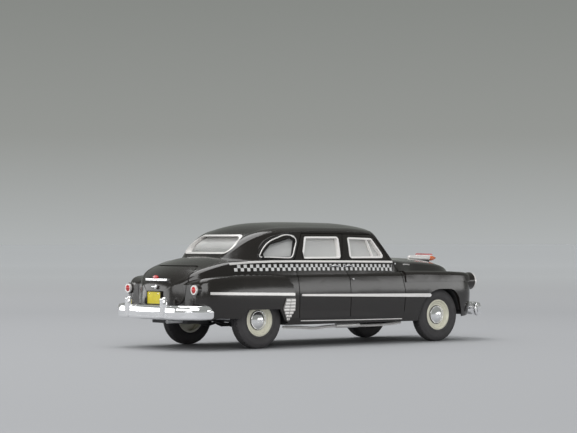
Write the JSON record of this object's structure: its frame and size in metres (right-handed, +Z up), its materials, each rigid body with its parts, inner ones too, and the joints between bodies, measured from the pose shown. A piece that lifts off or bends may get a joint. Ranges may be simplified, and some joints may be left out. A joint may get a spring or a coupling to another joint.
{
  "type": "scale model taxi cab",
  "caption": "Scale model of a black post-war limousine taxi with a checker band, hollow glazed cabin, bright trim and free-rolling wheels.",
  "frame": {"origin": "on the ground under the middle of the overall length and width, bumper to bumper", "axes": "+X towards the front of the car, +Y to its left, +Z up"},
  "size_m": [0.1286, 0.0448, 0.0385],
  "materials": {
    "black_paint": "high gloss",
    "base_grey": "satin",
    "interior_beige": "matt",
    "seat_beige": "matt",
    "steering_black": "gloss",
    "clear_glass": "clear",
    "frame_silver": "satin",
    "chrome": "polished",
    "pipe_silver": "satin",
    "plate_yellow": "satin",
    "red_lens": "gloss",
    "axle_steel": "bright",
    "tyre": "matt",
    "cream_rim": "gloss"
  },
  "bodies": {
    "car": {"body_shell": "black_paint", "base_plate": "base_grey", "interior_tub": "interior_beige", "front_seat": "seat_beige", "rear_seat": "seat_beige", "dashboard": "interior_beige", "steering_wheel": "steering_black", "glazing": "clear_glass", "rear_window_frame": "frame_silver", "windscreen_frame": "frame_silver", "front_bumper": "chrome", "rear_bumper": "chrome", "grille": "chrome", "number_plate": "plate_yellow", "plate_lamp": "chrome", "boot_handle": "chrome", "bonnet_ornament": "chrome", "exhaust_pipe": "pipe_silver", "window_frames_left": "frame_silver", "belt_moulding_left": "frame_silver", "side_strips_left": "chrome", "stone_guard_left": "chrome", "door_handles_left": "chrome", "headlamp_left": "chrome", "headlamp_lens_left": "clear_glass", "tail_lamp_left": "chrome", "tail_lens_left": "red_lens", "window_frames_right": "frame_silver", "belt_moulding_right": "frame_silver", "side_strips_right": "chrome", "stone_guard_right": "chrome", "door_handles_right": "chrome", "headlamp_right": "chrome", "headlamp_lens_right": "clear_glass", "tail_lamp_right": "chrome", "tail_lens_right": "red_lens"},
    "front_wheels": {"front_axle": "axle_steel", "tyre_front_left": "tyre", "rim_front_left": "cream_rim", "hub_cap_front_left": "chrome", "tyre_front_right": "tyre", "rim_front_right": "cream_rim", "hub_cap_front_right": "chrome"},
    "rear_wheels": {"rear_axle": "axle_steel", "tyre_rear_left": "tyre", "rim_rear_left": "cream_rim", "hub_cap_rear_left": "chrome", "tyre_rear_right": "tyre", "rim_rear_right": "cream_rim", "hub_cap_rear_right": "chrome"}
  },
  "joints": [
    {"name": "front_wheels_spin", "type": "hinge", "parent": "car", "child": "front_wheels", "pos_m": [0.0395, 0, 0.0086], "axis": [0, 1, 0], "continuous": true},
    {"name": "rear_wheels_spin", "type": "hinge", "parent": "car", "child": "rear_wheels", "pos_m": [-0.0349, 0, 0.0086], "axis": [0, 1, 0], "continuous": true}
  ]
}
